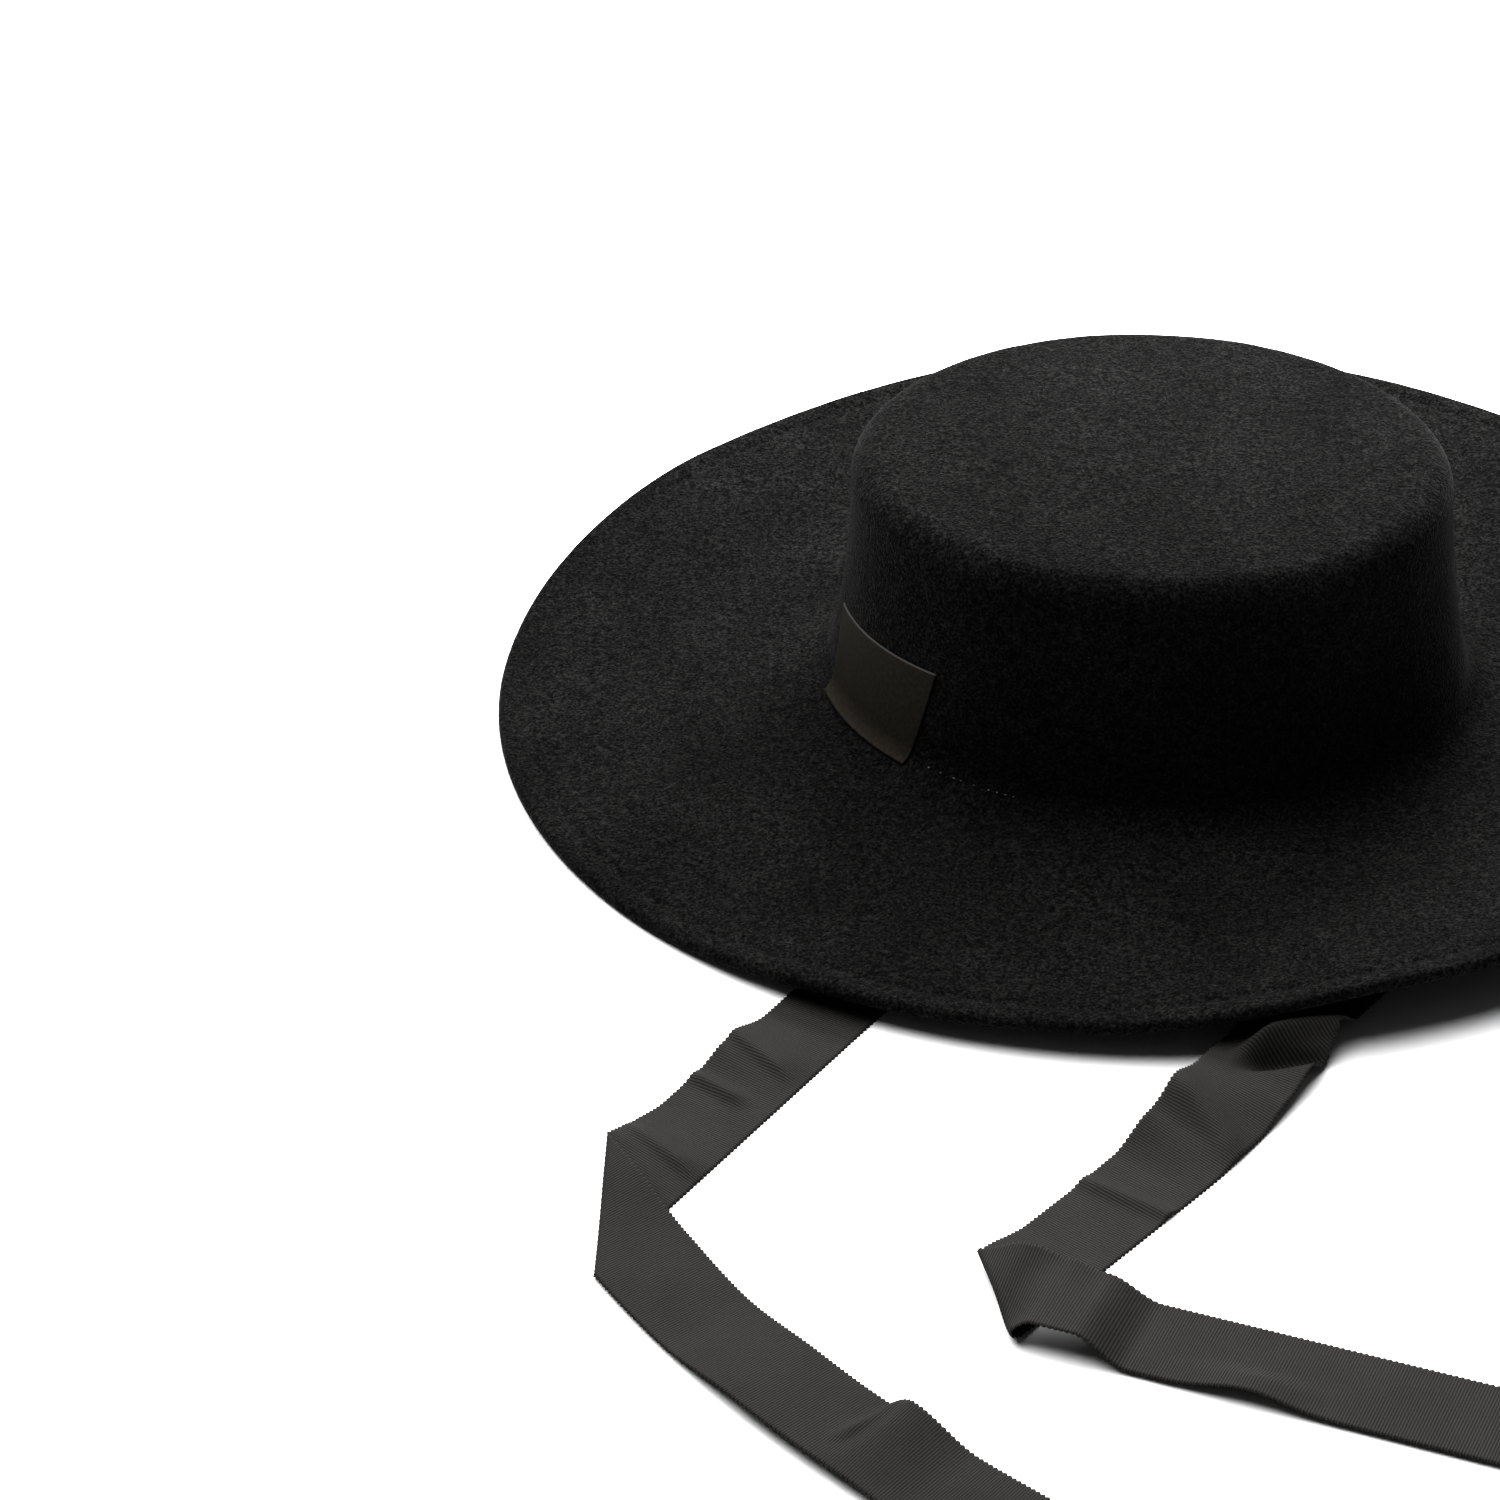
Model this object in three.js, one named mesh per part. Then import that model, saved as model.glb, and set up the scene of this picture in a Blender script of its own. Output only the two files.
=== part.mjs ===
// A wide-brimmed felt boater with two tie ribbons, lying brim down.
// Millimetres, +Z up. The head oval's long axis is X, and the origin is on the surface
// that the brim rests on, under the middle of the brim.
import * as THREE from "three";

const { degToRad, clamp, smoothstep, lerp } = THREE.MathUtils;

// Felt: the hood is blocked over a head oval, a circle whose long axis gains OVAL and whose
// short axis loses it.
const HEAD_RADIUS = 93;
const OVAL = 5.75;
const FELT = 2.3;
const CROWN_TALL = 78;
const TOP_DOME = 2;
const LEAN_TOP = degToRad(1.5);
const LEAN_FOOT = degToRad(11.5);
const SHOULDER_RADIUS = 9.5;
const BREAK_RADIUS = 10;
const BRIM_WIDE = 105;
const BRIM_FOOT = 9;
const HEM_WIDE = 7;
const HEM_THICK = 4.6;
const HEM_BEVEL = 1;

// The worn crown stands a little off square, to the right and back. The lean takes the brim's
// inner part with it and is gone at LEAN_REACH of the brim's width.
const CROWN_LEAN = degToRad(0.8);
const CROWN_NOD = degToRad(0.4);
const LEAN_REACH = 0.9;

// How far the soft brim's edge stands off the surface, all round. Angles run from +X. The waves
// grow from nothing at the crown as the distance to the power WAVE_GROWTH.
const WAVE_GROWTH = 1.5;
const BRIM_WAVES = [
  { at: 0, lift: 0 },
  { at: 25, lift: 0 },
  { at: 60, lift: 8.6 },
  { at: 100, lift: 13.4 },
  { at: 145, lift: 6.8 },
  { at: 185, lift: 0 },
  { at: 230, lift: 0 },
  { at: 257, lift: 6 },
  { at: 272, lift: 8 },
  { at: 300, lift: 17.6 },
  { at: 320, lift: 16.5 },
  { at: 360, lift: 0 },
];

// Label, round the foot of the crown and a little askew: the angle of each corner, and how far up
// the felt it is from the brim
const LABEL_THICK = 1;
const LABEL_FOOT = { left: { angle: 202, up: 6 }, right: { angle: 232, up: 6.5 } };
const LABEL_HEAD = { left: { angle: 199, up: 36 }, right: { angle: 236, up: 40 } };

// Ribbons
const RIBBON_WIDE = 28;
const RIBBON_THICK = 1;
const SEAT_GAP = 0.3;

// Mesh steps: counts, the shares of a straight stretch that get a point, and lengths along a
// ribbon. Near a crease, within SKEW_REACH, the ribbon's cross-lines turn to lie along it.
const ROUND_STEPS = 64;
const ARC_STEPS = 5;
const DOME_SHARES = [0, 0.5, 0.8];
const WALL_SHARES = [0.25, 0.5, 0.75];
const BRIM_SHARES = [0.2, 0.4, 0.6, 0.8];
const LABEL_STEPS = { round: 16, up: 8 };
const RIBBON_STEP = 5;
const RIBBON_ACROSS = 4;
const FOLD_STEPS = 6;
const SKEW_REACH = 36;
const SKEW_LEVEL = 1.1;

const cloth = (color, roughness) =>
  new THREE.MeshStandardMaterial({ color, roughness, metalness: 0 });

// The felt's section, in a plane through the axis: a shoulder arc, a wall arc that flares towards
// its foot and a break arc, each tangent to the next, with centres that both faces share.
const RIM_RADIUS = HEAD_RADIUS + BRIM_WIDE;
const NOSE_RADIUS = HEM_THICK / 2;
const BRIM_SLOPE = Math.atan2(BRIM_FOOT - HEM_THICK, BRIM_WIDE - BREAK_RADIUS - NOSE_RADIUS);
const breakCentre = new THREE.Vector2(HEAD_RADIUS + BREAK_RADIUS, BRIM_FOOT + BREAK_RADIUS);
const facing = (lean) => new THREE.Vector2(Math.cos(lean), Math.sin(lean));
const shoulderHeight = BRIM_FOOT + CROWN_TALL - SHOULDER_RADIUS;
const WALL_RADIUS =
  (shoulderHeight -
    breakCentre.y +
    SHOULDER_RADIUS * Math.sin(LEAN_TOP) +
    BREAK_RADIUS * Math.sin(LEAN_FOOT)) /
  (Math.sin(LEAN_FOOT) - Math.sin(LEAN_TOP));
const wallCentre = breakCentre
  .clone()
  .addScaledVector(facing(LEAN_FOOT), WALL_RADIUS - BREAK_RADIUS);
const shoulderCentre = wallCentre
  .clone()
  .addScaledVector(facing(LEAN_TOP), -WALL_RADIUS - SHOULDER_RADIUS);

function arcPoints(centre, radius, from, to) {
  return Array.from({ length: ARC_STEPS + 1 }, (_, i) => {
    const angle = lerp(from, to, i / ARC_STEPS);
    return new THREE.Vector2(
      centre.x + radius * Math.cos(angle),
      centre.y + radius * Math.sin(angle),
    );
  });
}

// One face of the felt, from the middle of the top to the brim beyond the break.
function feltFace(inset) {
  const top = BRIM_FOOT + CROWN_TALL - inset;
  const dome = DOME_SHARES.map(
    (t) => new THREE.Vector2(t * shoulderCentre.x, top + TOP_DOME * (1 - t * t)),
  );
  const shoulder = arcPoints(shoulderCentre, SHOULDER_RADIUS - inset, Math.PI / 2, LEAN_TOP);
  const wall = WALL_SHARES.map((t) =>
    wallCentre
      .clone()
      .addScaledVector(facing(lerp(LEAN_TOP, LEAN_FOOT, t)), -WALL_RADIUS - inset),
  );
  const breakArc = arcPoints(
    breakCentre,
    BREAK_RADIUS + inset,
    Math.PI + LEAN_FOOT,
    1.5 * Math.PI - BRIM_SLOPE,
  );
  return [...dome, ...shoulder, ...wall, ...breakArc];
}

const brimHeight = (radius) => BRIM_FOOT - (radius - breakCentre.x) * Math.tan(BRIM_SLOPE);

// The brim between the break and the hem, stepped so that its waves stay round.
function brimPoints(inset, reach) {
  return BRIM_SHARES.map((t) => {
    const radius = lerp(breakCentre.x, reach, t);
    return new THREE.Vector2(radius, brimHeight(radius) - inset);
  });
}

function feltSection() {
  const hemStart = RIM_RADIUS - HEM_WIDE;
  const brimEnd = hemStart - HEM_BEVEL;
  const noseCentre = new THREE.Vector2(RIM_RADIUS - NOSE_RADIUS, NOSE_RADIUS);
  return [
    ...feltFace(0),
    ...brimPoints(0, noseCentre.x),
    ...arcPoints(noseCentre, NOSE_RADIUS, Math.PI / 2, -Math.PI / 2),
    new THREE.Vector2(hemStart, 0),
    new THREE.Vector2(brimEnd, brimHeight(brimEnd) - FELT),
    ...brimPoints(FELT, brimEnd).reverse(),
    ...feltFace(FELT).reverse(),
  ];
}

// A value between the rows of a table, eased so that each row is a crest, a dip or a level.
function between(rows, at, column) {
  const next = rows.findIndex((row) => row.at > at);
  if (next < 0) return rows.at(-1)[column];
  if (next === 0) return rows[0][column];
  const [before, after] = [rows[next - 1], rows[next]];
  return lerp(before[column], after[column], smoothstep(at, before.at, after.at));
}

// From the round hood to the hat as it lies: the head oval, the brim's waves, the crown's lean.
function layFelt(radius, angle, height) {
  const oval = OVAL * Math.min(1, radius / HEAD_RADIUS);
  const outward = clamp((radius - HEAD_RADIUS) / BRIM_WIDE, 0, 1);
  const degrees = THREE.MathUtils.euclideanModulo(THREE.MathUtils.radToDeg(angle), 360);
  const lift = between(BRIM_WAVES, degrees, "lift") * outward ** WAVE_GROWTH;
  const point = new THREE.Vector3(
    (radius + oval) * Math.cos(angle),
    (radius - oval) * Math.sin(angle),
    height + lift - BRIM_FOOT,
  );
  const share = 1 - smoothstep(outward, 0, LEAN_REACH);
  point.applyEuler(new THREE.Euler(-CROWN_NOD * share, CROWN_LEAN * share, 0));
  point.z += BRIM_FOOT;
  return point;
}

// Moves every vertex of a geometry to where place(x, y, z) puts it.
function reshape(geometry, place) {
  const position = geometry.getAttribute("position");
  const vertex = new THREE.Vector3();
  for (let i = 0; i < position.count; i += 1) {
    vertex.fromBufferAttribute(position, i);
    const moved = place(vertex.x, vertex.y, vertex.z);
    position.setXYZ(i, moved.x, moved.y, moved.z);
  }
  geometry.computeVertexNormals();
  return geometry;
}

function feltBody() {
  const hood = new THREE.LatheGeometry(feltSection().reverse(), ROUND_STEPS);
  const laid = reshape(hood, (x, y, z) => layFelt(Math.hypot(x, z), Math.atan2(-z, x), y));
  return new THREE.Mesh(laid, cloth(0x1b1a1a, 0.95));
}

// A point on the felt's outer face, a distance up from the brim and proud of the felt.
function onCrown(up, angle, proud) {
  const arc = Math.PI / 2 - BRIM_SLOPE - LEAN_FOOT;
  const onWall = up - BREAK_RADIUS * arc;
  const spot =
    onWall < 0
      ? breakCentre
          .clone()
          .addScaledVector(facing(LEAN_FOOT - onWall / BREAK_RADIUS), proud - BREAK_RADIUS)
      : wallCentre
          .clone()
          .addScaledVector(facing(LEAN_FOOT - onWall / WALL_RADIUS), proud - WALL_RADIUS);
  return layFelt(spot.x, angle, spot.y);
}

function label() {
  const blank = new THREE.BoxGeometry(1, 1, LABEL_THICK, LABEL_STEPS.round, LABEL_STEPS.up, 1);
  const sewn = reshape(blank, (x, y, z) => {
    const spot = (value) =>
      lerp(
        lerp(LABEL_FOOT.left[value], LABEL_FOOT.right[value], x + 0.5),
        lerp(LABEL_HEAD.left[value], LABEL_HEAD.right[value], x + 0.5),
        y + 0.5,
      );
    return onCrown(spot("up"), degToRad(spot("angle")), SEAT_GAP + LABEL_THICK / 2 + z);
  });
  return new THREE.Mesh(sewn, cloth(0x1d1815, 0.6));
}

// A ribbon is drawn flat and then laid. Flat, it runs along +Y from where it leaves the brim,
// with its right edge at +X. Each turn acts on what lies beyond it, seen from there: a fold
// bends the ribbon up about a crease that is skewed to its width, and a swerve curves it to the
// left in its own plane. Heights give how far its right and left edges stand off the surface.
const SEWN_BEND = BREAK_RADIUS + FELT + SEAT_GAP + RIBBON_THICK / 2;
const TURN_OVER = { fold: 180, radius: 0.8 };

const RIBBONS = {
  ribbon_left: {
    exit: { x: -63, y: -182, heading: -112 },
    from: -130,
    to: 307,
    turns: [
      { at: -95.8, skew: -12.5, fold: 80, radius: SEWN_BEND },
      { at: -20, swerve: 14.5, radius: 300 },
      { at: 107, skew: -58, ...TURN_OVER },
      { at: 130, swerve: -16, radius: 400 },
    ],
    heights: [
      { at: -95.8, right: 6, left: 6 },
      { at: -60, right: 0, left: 0 },
      { at: 10, right: 0, left: 0 },
      { at: 32, right: 3.6, left: 0 },
      { at: 44, right: 1.2, left: 0 },
      { at: 60, right: 1, left: 0 },
      { at: 74, right: 2.8, left: 0 },
      { at: 86, right: 7, left: 0 },
      { at: 98, right: 7, left: 0 },
      { at: 132, right: 2.5, left: 0 },
      { at: 165, right: 0.8, left: 0 },
      { at: 196, right: 3, left: 3.2 },
      { at: 226, right: 2.6, left: 3.2 },
      { at: 235, right: 8.5, left: 3 },
      { at: 258, right: 3, left: 1 },
      { at: 290, right: 4, left: 0 },
      { at: 307, right: 2, left: 0 },
    ],
  },
  ribbon_right: {
    exit: { x: 72, y: -165, heading: -109 },
    from: -144,
    to: 345,
    turns: [
      { at: -108, skew: -0.5, fold: -80, radius: SEWN_BEND },
      { at: -73, skew: -60, ...TURN_OVER },
      { at: 30, swerve: -10, radius: 300 },
      { at: 150, skew: -36, ...TURN_OVER },
    ],
    heights: [
      { at: -108, right: 3, left: 3 },
      { at: -75, right: 0, left: 0 },
      { at: -40, right: 0, left: 0 },
      { at: -4, right: 6, left: 1 },
      { at: 20, right: 5, left: 0 },
      { at: 38, right: 7.5, left: 0 },
      { at: 52, right: 10, left: 0 },
      { at: 66, right: 6.5, left: 0 },
      { at: 84, right: 0.8, left: 0 },
      { at: 100, right: 0, left: 0 },
      { at: 120, right: 0, left: 0 },
      { at: 140, right: 3.5, left: 0 },
      { at: 157, right: 10, left: 0.5 },
      { at: 168, right: 8, left: 8 },
      { at: 177, right: 5, left: 8 },
      { at: 190, right: 0, left: 0 },
      { at: 204, right: 0, left: 0 },
      { at: 222, right: 0, left: 1 },
      { at: 245, right: 0, left: 0 },
      { at: 345, right: 0, left: 0 },
    ],
  },
};

function applyFold(point, flat, { at, skew, fold, radius }) {
  const way = Math.sign(at);
  const up = Math.sign(fold);
  const crease = new THREE.Vector3(Math.cos(degToRad(skew)), Math.sin(degToRad(skew)), 0);
  const onward = new THREE.Vector3(-crease.y, crease.x, 0).multiplyScalar(way);
  const axisPoint = new THREE.Vector3(0, at, up * radius);
  const past = flat.clone().sub(axisPoint).dot(onward);
  if (past <= 0) return;
  const bent = Math.min(past, radius * degToRad(Math.abs(fold)));
  point.addScaledVector(onward, -bent).sub(axisPoint);
  point.applyAxisAngle(crease.multiplyScalar(way), (up * bent) / radius).add(axisPoint);
}

function applySwerve(point, flat, { at, swerve, radius }) {
  const way = Math.sign(at);
  const past = (flat.y - at) * way;
  if (past <= 0) return;
  const bent = Math.min(past, radius * Math.abs(degToRad(swerve)));
  const centre = new THREE.Vector3(-way * Math.sign(swerve) * radius, at, 0);
  point.y -= way * bent;
  point.sub(centre);
  point.applyAxisAngle(new THREE.Vector3(0, 0, 1), (Math.sign(swerve) * bent) / radius).add(centre);
}

// Where the mesh has its cross-lines: even steps, and closer ones over each fold.
function ribbonStations({ from, to, turns }) {
  const folds = turns.filter((turn) => turn.fold);
  const span = ({ skew, fold, radius }) =>
    (radius * degToRad(Math.abs(fold))) / Math.cos(degToRad(skew));
  const inFold = (at) =>
    folds.some((turn) => {
      const past = (at - turn.at) * Math.sign(turn.at);
      return past > -RIBBON_STEP / 2 && past < span(turn) + RIBBON_STEP / 2;
    });
  const steps = Math.round((to - from) / RIBBON_STEP);
  const even = Array.from({ length: steps + 1 }, (_, i) => lerp(from, to, i / steps));
  const close = folds.flatMap((turn) =>
    Array.from(
      { length: FOLD_STEPS + 1 },
      (_, i) => turn.at + (Math.sign(turn.at) * span(turn) * i) / FOLD_STEPS,
    ),
  );
  return [...even.filter((at) => !inFold(at)), ...close].sort((a, b) => a - b);
}

// Cross-lines lie along the nearest crease, and square to the ribbon away from it.
function slant(turns, at) {
  return turns
    .filter((turn) => turn.fold)
    .map(({ at: crease, skew }) => {
      const near = clamp(SKEW_LEVEL * (1 - Math.abs(at - crease) / SKEW_REACH), 0, 1);
      return near * Math.tan(degToRad(skew));
    })
    .reduce((sum, part) => sum + part, 0);
}

function ribbon({ exit, from, to, turns, heights }) {
  const stations = ribbonStations({ from, to, turns });
  const lines = stations.length - 1;
  const strip = new THREE.BoxGeometry(RIBBON_WIDE, lines, RIBBON_THICK, RIBBON_ACROSS, lines, 1);
  const inOrder = turns.toSorted((a, b) => Math.abs(b.at) - Math.abs(a.at));
  const laid = reshape(strip, (x, y, z) => {
    const station = stations[Math.round(y + lines / 2)];
    const along = station + x * slant(turns, station);
    const toRight = x / RIBBON_WIDE + 0.5;
    const lift = lerp(between(heights, along, "left"), between(heights, along, "right"), toRight);
    const flat = new THREE.Vector3(x, along, z);
    const point = flat.clone();
    inOrder.forEach((turn) => (turn.fold ? applyFold : applySwerve)(point, flat, turn));
    point.z += lift + RIBBON_THICK / 2;
    return point;
  });
  const mesh = new THREE.Mesh(laid, cloth(0x2b2a2a, 0.8));
  mesh.position.set(exit.x, exit.y, 0);
  mesh.rotation.z = degToRad(exit.heading - 90);
  return mesh;
}

const boater = new THREE.Group();
const pieces = {
  felt_body: feltBody(),
  label: label(),
  ribbon_left: ribbon(RIBBONS.ribbon_left),
  ribbon_right: ribbon(RIBBONS.ribbon_right),
};
for (const [name, mesh] of Object.entries(pieces)) {
  mesh.name = name;
  boater.add(mesh);
}

export default boater;
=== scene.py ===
import math

import bmesh
import bpy
from mathutils import Matrix, Vector, noise


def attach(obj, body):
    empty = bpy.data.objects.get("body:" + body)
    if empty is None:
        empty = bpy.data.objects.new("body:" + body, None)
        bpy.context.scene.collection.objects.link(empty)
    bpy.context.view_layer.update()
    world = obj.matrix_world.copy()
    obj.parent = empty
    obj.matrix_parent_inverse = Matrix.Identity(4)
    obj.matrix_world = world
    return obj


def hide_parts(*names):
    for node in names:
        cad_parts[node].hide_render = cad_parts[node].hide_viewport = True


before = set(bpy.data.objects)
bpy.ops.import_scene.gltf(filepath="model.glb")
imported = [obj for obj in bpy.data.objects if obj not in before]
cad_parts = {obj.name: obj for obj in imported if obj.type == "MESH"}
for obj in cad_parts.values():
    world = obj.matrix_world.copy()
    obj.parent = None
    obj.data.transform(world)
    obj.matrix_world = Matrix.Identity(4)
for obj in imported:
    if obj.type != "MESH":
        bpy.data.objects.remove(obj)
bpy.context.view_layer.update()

# Felt body
# The hat is one hood of black wool felt, steamed and blocked over a flat-topped head oval. The
# brim is left soft, so that its edge waves, and that edge is turned under and pressed. The
# section is drawn in millimetres, spun about the crown's axis and then laid as the hat lies.
MM = 0.001
HEAD_RADIUS = 93
OVAL = 5.75
FELT = 2.3
CROWN_TALL = 78
TOP_DOME = 2
LEAN_TOP = math.radians(1.5)
LEAN_FOOT = math.radians(11.5)
SHOULDER_RADIUS = 9.5
BREAK_RADIUS = 10
BRIM_WIDE = 105
BRIM_FOOT = 9
HEM_WIDE = 7
HEM_THICK = 4.6
HEM_BEVEL = 1
CROWN_LEAN = math.radians(0.8)
CROWN_NOD = math.radians(0.4)
LEAN_REACH = 0.9
WAVE_GROWTH = 1.5
BRIM_WAVES = [
    {"at": 0, "lift": 0},
    {"at": 25, "lift": 0},
    {"at": 60, "lift": 8.6},
    {"at": 100, "lift": 13.4},
    {"at": 145, "lift": 6.8},
    {"at": 185, "lift": 0},
    {"at": 230, "lift": 0},
    {"at": 257, "lift": 6},
    {"at": 272, "lift": 8},
    {"at": 300, "lift": 17.6},
    {"at": 320, "lift": 16.5},
    {"at": 360, "lift": 0},
]
HEM_LINE = [  # the pressed line inside the hem: distance in from the rim, and how far the face sinks
    (12.5, 0),
    (11, 0.12),
    (9.8, 0.45),
    (8.8, 0.8),
    (7.8, 0.65),
    (6.5, 0.15),
    (5, -0.2),
    (3.6, -0.15),
]
FELT_ROUND = 224
FELT_ARC_STEPS = 12
DOME_STEPS = 12
WALL_STEPS = 14
BRIM_STEPS = 24
UNEVEN = [(35, 0.35), (9, 0.12)]  # how wide the unevenness is, and how deep
WALL_FROM = 12  # the height from which the felt counts as wall
MERGE_WITHIN = 1e-4

RIM_RADIUS = HEAD_RADIUS + BRIM_WIDE
NOSE_RADIUS = HEM_THICK / 2
BRIM_SLOPE = math.atan2(BRIM_FOOT - HEM_THICK, BRIM_WIDE - BREAK_RADIUS - NOSE_RADIUS)
BREAK_CENTRE = Vector((HEAD_RADIUS + BREAK_RADIUS, BRIM_FOOT + BREAK_RADIUS))
SHOULDER_HEIGHT = BRIM_FOOT + CROWN_TALL - SHOULDER_RADIUS


def facing(lean):
    return Vector((math.cos(lean), math.sin(lean)))


ARCS_RISE = (
    SHOULDER_HEIGHT
    - BREAK_CENTRE.y
    + SHOULDER_RADIUS * math.sin(LEAN_TOP)
    + BREAK_RADIUS * math.sin(LEAN_FOOT)
)
WALL_RADIUS = ARCS_RISE / (math.sin(LEAN_FOOT) - math.sin(LEAN_TOP))
WALL_CENTRE = BREAK_CENTRE + facing(LEAN_FOOT) * (WALL_RADIUS - BREAK_RADIUS)
SHOULDER_CENTRE = WALL_CENTRE - facing(LEAN_TOP) * (WALL_RADIUS + SHOULDER_RADIUS)


def lerp(start, stop, share):
    return start + (stop - start) * share


def shares(steps, first=0, last=1):
    """Even shares of a stretch, from step first to the step last before its end."""
    return [i / steps for i in range(first, steps + 1 - last)]


def arc_points(centre, radius, start, stop, steps=FELT_ARC_STEPS):
    angles = [lerp(start, stop, share) for share in shares(steps, last=0)]
    return [centre + facing(angle) * radius for angle in angles]


def felt_face(inset):
    """One face of the felt, from the middle of the top to the brim beyond the break."""
    top = BRIM_FOOT + CROWN_TALL - inset
    dome = [
        Vector((t * SHOULDER_CENTRE.x, top + TOP_DOME * (1 - t * t))) for t in shares(DOME_STEPS)
    ]
    leans = [lerp(LEAN_TOP, LEAN_FOOT, t) for t in shares(WALL_STEPS, first=1)]
    return [
        *dome,
        *arc_points(SHOULDER_CENTRE, SHOULDER_RADIUS - inset, math.pi / 2, LEAN_TOP),
        *[WALL_CENTRE - facing(lean) * (WALL_RADIUS + inset) for lean in leans],
        *arc_points(
            BREAK_CENTRE, BREAK_RADIUS + inset, math.pi + LEAN_FOOT, 1.5 * math.pi - BRIM_SLOPE
        ),
    ]


def brim_height(radius):
    return BRIM_FOOT - (radius - BREAK_CENTRE.x) * math.tan(BRIM_SLOPE)


def brim_points(inset, reach):
    radii = [lerp(BREAK_CENTRE.x, reach, t) for t in shares(BRIM_STEPS, first=1)]
    return [Vector((radius, brim_height(radius) - inset)) for radius in radii]


def felt_outside():
    """The section's outer side, from the middle of the top to the underside of the rim."""
    nose = Vector((RIM_RADIUS - NOSE_RADIUS, NOSE_RADIUS))
    hem_line = [(RIM_RADIUS - inward, depth) for inward, depth in HEM_LINE]
    return [
        *felt_face(0),
        *brim_points(0, hem_line[0][0]),
        *[Vector((radius, brim_height(radius) - depth)) for radius, depth in hem_line],
        *arc_points(nose, NOSE_RADIUS, math.pi / 2, -math.pi / 2),
    ]


def felt_section():
    hem_start = RIM_RADIUS - HEM_WIDE
    brim_end = hem_start - HEM_BEVEL
    return [
        *felt_outside(),
        Vector((hem_start, 0)),
        Vector((brim_end, brim_height(brim_end) - FELT)),
        *reversed(brim_points(FELT, brim_end)),
        *reversed(felt_face(FELT)),
    ]


def ease(value, start, stop):
    share = min(1, max(0, (value - start) / (stop - start)))
    return share * share * (3 - 2 * share)


def between(rows, at, column):
    """A value between the rows of a table, eased so that each row is a crest, a dip or a level."""
    if at <= rows[0]["at"]:
        return rows[0][column]
    for before, after in zip(rows, rows[1:]):
        if at < after["at"]:
            return lerp(before[column], after[column], ease(at, before["at"], after["at"]))
    return rows[-1][column]


def lay_felt(radius, angle, height):
    """From the round hood to the hat as it lies: the head oval, the waves, the crown's lean."""
    oval = OVAL * min(1, radius / HEAD_RADIUS)
    outward = min(1, max(0, (radius - HEAD_RADIUS) / BRIM_WIDE))
    lift = between(BRIM_WAVES, math.degrees(angle) % 360, "lift") * outward**WAVE_GROWTH
    point = Vector((
        (radius + oval) * math.cos(angle),
        (radius - oval) * math.sin(angle),
        height + lift - BRIM_FOOT,
    ))
    share = 1 - ease(outward, 0, LEAN_REACH)
    lean = Matrix.Rotation(CROWN_LEAN * share, 3, "Y")
    nod = Matrix.Rotation(-CROWN_NOD * share, 3, "X")
    return nod @ lean @ point + Vector((0, 0, BRIM_FOOT))


def finished(name, mesh_data, material):
    """Turns a bmesh into a smooth piece that rides on the hat."""
    mesh = bpy.data.meshes.new(name)
    mesh_data.to_mesh(mesh)
    mesh_data.free()
    mesh.shade_smooth()
    mesh.materials.append(material)
    piece = bpy.data.objects.new(name, mesh)
    bpy.context.collection.objects.link(piece)
    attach(piece, "root")
    return piece


def new_material(name):
    """A material with its node tree, and its shader."""
    material = bpy.data.materials.new(name)
    material.use_nodes = True
    return material, material.node_tree, material.node_tree.nodes["Principled BSDF"]


def add_node(tree, kind, inputs=None, **settings):
    """A node of a kind, with its settings, and its inputs set to values or linked to sockets."""
    made = tree.nodes.new("ShaderNode" + kind)
    for setting, value in settings.items():
        setattr(made, setting, value)
    for key, value in (inputs or {}).items():
        if isinstance(value, bpy.types.NodeSocket):
            tree.links.new(value, made.inputs[key])
        else:
            made.inputs[key].default_value = value
    return made


def colour_ramp(tree, factor, stops):
    ramp = add_node(tree, "ValToRGB", {"Fac": factor})
    elements = ramp.color_ramp.elements
    while len(elements) < len(stops):
        elements.new(0.5)
    for element, (position, colour) in zip(elements, stops):
        element.position = position
        element.color = (*colour, 1)
    return ramp.outputs["Color"]


FELT_DARK = (0.0024, 0.0023, 0.0023)
FELT_MID = (0.0086, 0.0084, 0.0083)
FELT_LINT = (0.0220, 0.0216, 0.0212)
FELT_MOTTLE = [(0.3, (0.72, 0.72, 0.72)), (0.7, (1.2, 1.2, 1.2))]
FINE_SHARE = 0.72


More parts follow.
